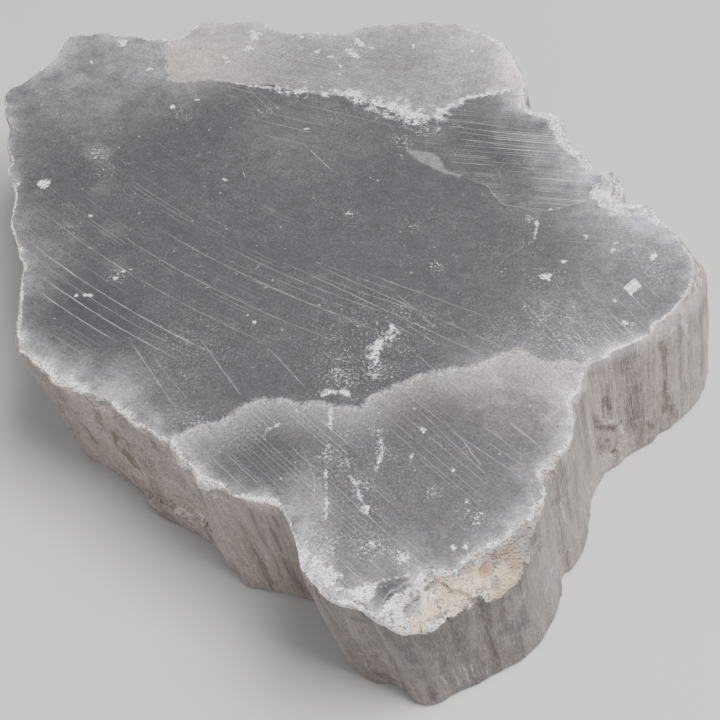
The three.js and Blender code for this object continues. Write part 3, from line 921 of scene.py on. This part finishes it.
rim_gap = stored("inset")
chip = (stored("granular") + speckle(place, 0.8, 6, 2) - 0.5).step(0.42, 0.6)
broken_here = stored("broken")
milk_here = stored("milk")
massive_here = stored("massive")
on_face = rim_gap.step(-0.6, 0.1)
wander = speckle(place, 3.2, 1, 2) - 0.5
ragged = speckle(place, 0.9, 2) - 0.5
grain = speckle(place, 0.8, 3, 2) - 0.5
frost = speckle(place, 0.4, 4, 1) - 0.5
wisps = ((speckle(place, 2.2, 5, 2) - 0.5).math("ABSOLUTE") * -16 + 1).over(0)


# The sawn top, from clear to clouded. Behind the fracture and in front of the veil it is milky.
def zone(name, fray):
    """1 inside an outline of the sawn top and 0 outside, with a frayed edge."""
    return (stored(name) + (wander * 4 + ragged * 1.6) * fray).step(-0.5, 0.8)


behind = zone("cloudy_back", 0.6)
in_lens = zone("lens", 0.5)
in_patch = zone("pale_patch", 0.4)
in_front = zone("cloudy_front", 0.8)
veil_glow = in_front * (stored("cloudy_front") + wander * 6).step(15, -1)
smudges = (speckle(place, 2.6, 8, 3) - 0.5).step(0.08, 0.3)
dusting = stored("debris") * (grain + frost * 0.8).step(-0.05, 0.35)
clouding = milk_here + behind * 0.165 + in_lens * 0.005 + in_patch * 0.11 + in_front * 0.02
clouding = clouding + veil_glow * 0.15 + smudges * 0.04 + dusting * 0.3
mottle = 1 + wander * 0.5 + wisps * 0.08 + grain * 0.65 + frost * 0.6
clouding = clouding * mottle


def saw_marks(across, spacing, width, seed, share):
    """Thin parallel scratches at random gaps, each of its own strength."""
    line = {"voronoi_dimensions": "1D"}
    gap = Wire.node("TexVoronoi", line, {"W": across * (1 / spacing) + seed, "Scale": 1.0})
    strength = Wire.node("SeparateColor", {}, {0: gap.other(1)})
    return (gap * spacing).step(width, width * 0.3) * (strength ** 2) * share


def across_line(degrees):
    """Distance across a run of straight marks that go in that direction."""
    turn = math.radians(degrees)
    return y * math.cos(turn) - x * math.sin(turn) + wander * 0.5


def round_about(centre_x, centre_y):
    """Distance from a place on the sawn top."""
    centre = (-heart[0] - centre_x, -heart[1] - centre_y, -thickness)
    return Wire.node("VectorMath", {"operation": "LENGTH"}, {0: moved(place, centre)}, 1)


def patch(centre_x, centre_y, radius, soft):
    """1 round a place and 0 past that radius, fading over the soft distance."""
    return round_about(centre_x, centre_y).step(radius, radius - soft)


# Runs of fine marks: the distance across them, their spacing, width and seed, how strong, and
# where they are.
over_lens = in_lens * patch(72, 66, 66, 50)
runs = [
    (round_about(*saw_centre) + wander * 0.5, 1.6, 0.25, 7, 0.25, patch(-62, 17, 62, 30)),
    (across_line(-47), 1.2, 0.2, 13, 0.4, in_front),
    (across_line(-59), 1.3, 0.3, 17, 0.6, patch(66, -14, 26, 16)),
    (across_line(-7), 1.1, 0.22, 19, 0.95, over_lens),
    (across_line(-6), 0.6, 0.16, 23, 0.6, over_lens),
    (across_line(-20), 1.6, 0.25, 31, 0.4, patch(-5, 106, 50, 20)),
]
patchy = stored("patchy")
marks = stored("scratched") * 0.9
for across, spacing, width, seed, share, where in runs:
    marks = marks.over(saw_marks(across, spacing, width, seed, share) * where * patchy)
marks = marks * on_face

# White: crushed edges, cracks, flakes and dust.
crumb = grain * 0.9 + ragged * 0.6 + frost * 0.5 + wisps * 0.15
crumbled = (broken_here * (crumb * 3 + 1)).step(0.1, 1.15)
dust = stored("debris") * (wisps * 0.6 + 1.2) + (grain + frost) * 1.5 - 0.62
whitened = crumbled.over(dust.step(0, 0.8) * on_face * 0.9)

clear_grey, cloud_white = (0.072, 0.069, 0.078), (0.8, 0.77, 0.77)
cream_tint, blue_tint = (1, 0.91, 0.855), (0.86, 0.97, 1.1)
scratch_white = (0.78, 0.77, 0.79)
face_colour = mixed(clouding, clear_grey, cloud_white)
face_colour = scaled(face_colour, mottle)
creamy = stored("cream") * behind.over(in_front)
face_colour = mixed(creamy, face_colour, cream_tint, "MULTIPLY")
face_colour = mixed(stored("blue"), face_colour, blue_tint, "MULTIPLY")
face_colour = mixed(marks * 0.5, face_colour, scratch_white)

# The broken outside: satin streaks along the fibres, grey where they are clear, clay in pits, and
# painted light and shade round it.
fine_streak = speckle(drawn_out(0.11), 0.6, 13, 2) - 0.5
split = speckle(drawn_out(0.03), 0.4, 14, 1) - 0.5
stone = ragged * 0.9 + grain * 0.9 + wander * 0.8
boldness = 1 - stored("calm") * 0.5
streak = fine_streak * (0.7 - massive_here * 0.4) + stored("streak") + stone * 0.6
streak = streak * boldness
satin_dark, satin_light = (0.15, 0.12, 0.106), (0.37, 0.312, 0.288)
clear_dark, clay_brown, split_pale = (0.11, 0.093, 0.09), (0.1, 0.072, 0.05), (0.62, 0.56, 0.52)
thread_light, thread_dark = (0.42, 0.37, 0.35), (0.12, 0.1, 0.095)
frost_white = (0.6, 0.57, 0.57)
wall_colour = mixed(streak.step(-0.35, 0.4), satin_dark, satin_light)
clear_fibres = (stored("clear") + ragged * 0.7 + fine_streak * 0.8 + wander * 0.4).step(0.15, 0.6)
wall_colour = mixed(clear_fibres * 0.65, wall_colour, clear_dark)
crumbly = ragged + grain + frost * 0.5
clay = (stored("clay") * 0.75 + crumbly * 1.3).step(0.3, 0.6)
wall_colour = mixed(clay * 0.8, wall_colour, clay_brown)
pale_fibres = (stored("pale") * 0.8 + ragged * 1.2 + grain + fine_streak).step(0.2, 0.75)
wall_colour = mixed(pale_fibres * 0.7, wall_colour, split_pale)
fibrous_here = (1 - massive_here * 0.6) * boldness
thin_fibres = split.step(0.06, 0.18) * fibrous_here * 0.5
wall_colour = mixed(thin_fibres, wall_colour, thread_light)
thin_gaps = split.step(-0.08, -0.2) * fibrous_here * 0.5
wall_colour = mixed(thin_gaps, wall_colour, thread_dark)
# Painted light and shade round the wall: lighter at the sides, darker in front.
wall_colour = scaled(wall_colour, stored("painted_light_and_shade"))
frosting = (stored("frosted") + crumbly * 0.5).step(0.1, 0.9)
wall_colour = mixed(frosting * 0.25, wall_colour, frost_white)

# The chips: white crust over grey, the grey partly painted shade between the lumps, then their
# stains, each with how ragged its edge is, where it starts and is full, how strong it is, and its
# colour. The brown is partly a stain and partly painted shade in the hollow under the rim, and the
# grey is painted shade on the face under the rim.
chip_grey_and_shade, chip_white = (0.26, 0.22, 0.2), (0.99, 0.96, 0.94)
crack_dark = (0.16, 0.12, 0.1)
stains = [
    ("tan", 0.5, 0, 0.45, 0.75, (0.72, 0.54, 0.37)),
    # Brown stains, partly painted shade in the hollow under the rim.
    ("brown_and_shade", 0.5, 0.1, 0.6, 0.8, (0.33, 0.21, 0.13)),
    # Painted shade on the chip's face under the rim.
    ("painted_chip_shade", 0.4, 0, 0.5, 0.7, (0.26, 0.23, 0.215)),
]
# Grey in the gaps of the white crust, partly the chip's own grey and partly painted shade between
# the lumps.
crust = (crumbly + wander * 1.4).step(-0.35, 0.25) * stored("chalky")
chip_colour = mixed(crust, chip_grey_and_shade, chip_white)
for name, raggedness, start, full, share, stain in stains:
    stained = (stored(name) + crumbly * raggedness + wander * 0.8).step(start, full)
    chip_colour = mixed(stained * share, chip_colour, stain)
chip_colour = mixed(stored("cracked").step(0.1, 0.6) * 0.7, chip_colour, crack_dark)
wall_colour = mixed(chip, wall_colour, chip_colour)

crushed_grey, crushed_white = (0.5, 0.475, 0.465), (0.98, 0.96, 0.96)
colour = mixed(on_face, wall_colour, face_colour)
white = mixed((grain + frost + wander * 0.6).step(-0.35, 0.15), crushed_grey, crushed_white)
colour = mixed(whitened, colour, white)

# Relief: fibres on the wall, and grains where it is crushed or chipped.
roughened = broken_here.over(chip)
relief = fine_streak * (1 - massive_here) * 0.5 + crumbly * (massive_here * 0.5 + 0.2) - clay * 0.4
height = relief * (1 - on_face) * (1 - roughened) + crumbly * roughened * 0.9
bumped = Wire.node("Bump", {}, {"Strength": 1.0, "Distance": MM, "Height": height})

# Its body: clouded and fibrous all over, with a share of clear crystal where the sawn top is
# clear.
clearest = 0.35  # the largest share
fibrous = Wire.node(
    "BsdfPrincipled",
    {},
    {"Base Color": colour, "Roughness": 0.5, "IOR": refraction, "Normal": bumped},
)
clear = Wire.node(
    "BsdfPrincipled",
    {},
    {
        "Base Color": (0.9, 0.9, 0.93, 1),
        "Roughness": 0.25,
        "IOR": refraction,
        "Transmission Weight": 1.0,
        "Normal": bumped,
    },
)
clearness = (clearest - clouding * 1.5).over(0) * (1 - whitened) * on_face * (1 - marks)
body = Wire.node("MixShader", {}, {0: clearness, 1: fibrous, 2: clear})
smoke = Wire.node("VolumeAbsorption", {}, {"Color": (0.5, 0.49, 0.53, 1), "Density": 45.0})
Wire.node("OutputMaterial", {}, {"Surface": body, "Volume": smoke})
mesh.materials.append(crystal)

# The floor. A plain pale surface, dull and even, just under the slab's sawn base.
floor_size = 6  # m
floor_drop = 0.0002  # m
floor_colour = (0.5, 0.495, 0.485, 1)
bpy.ops.mesh.primitive_plane_add(size=floor_size, location=(0, 0, -floor_drop))
floor = bpy.context.object
paint = bpy.data.materials.new("pale_floor")
paint.use_nodes = True
paint_sockets = paint.node_tree.nodes["Principled BSDF"].inputs
paint_sockets["Base Color"].default_value = floor_colour
paint_sockets["Roughness"].default_value = 0.8
floor.data.materials.append(paint)

# The light. A large soft lamp high up to the right, a weak one low at the left, and an even pale
# surround. A lamp is its name, its place in m, its power in watts and its width in m.
surround_strength = 0.35
lamps = [
    ("key", Vector((0.54, -0.18, 1.39)), 46, 0.9),
    ("fill", Vector((-1.1, -0.9, 0.45)), 10, 1.2),
]
for name, lamp_place, energy, width in lamps:
    light = bpy.data.lights.new(name, "AREA")
    light.energy = energy
    light.size = width
    lamp = bpy.data.objects.new(name, light)
    lamp.location = lamp_place
    lamp.rotation_euler = lamp_place.to_track_quat("Z", "Y").to_euler()
    bpy.context.collection.objects.link(lamp)
world = bpy.data.worlds.new("studio")
bpy.context.scene.world = world
world.use_nodes = True
surround = world.node_tree.nodes["Background"].inputs
surround["Color"].default_value = (1, 1, 1, 1)
surround["Strength"].default_value = surround_strength

# The camera. It stands in front of the slab and high over it, and looks down on the sawn top and
# the front wall.
focal_length = 66.9  # mm
camera_tilt = 40  # degrees up from straight down
camera_place = (heart[0] + 2, heart[1] - 270, thickness + 294)  # mm
camera = bpy.data.objects.new("camera", bpy.data.cameras.new("camera"))
camera.data.lens = focal_length
camera.location = [value * MM for value in camera_place]
camera.rotation_euler = (math.radians(camera_tilt), 0, 0)
bpy.context.collection.objects.link(camera)
bpy.context.scene.camera = camera
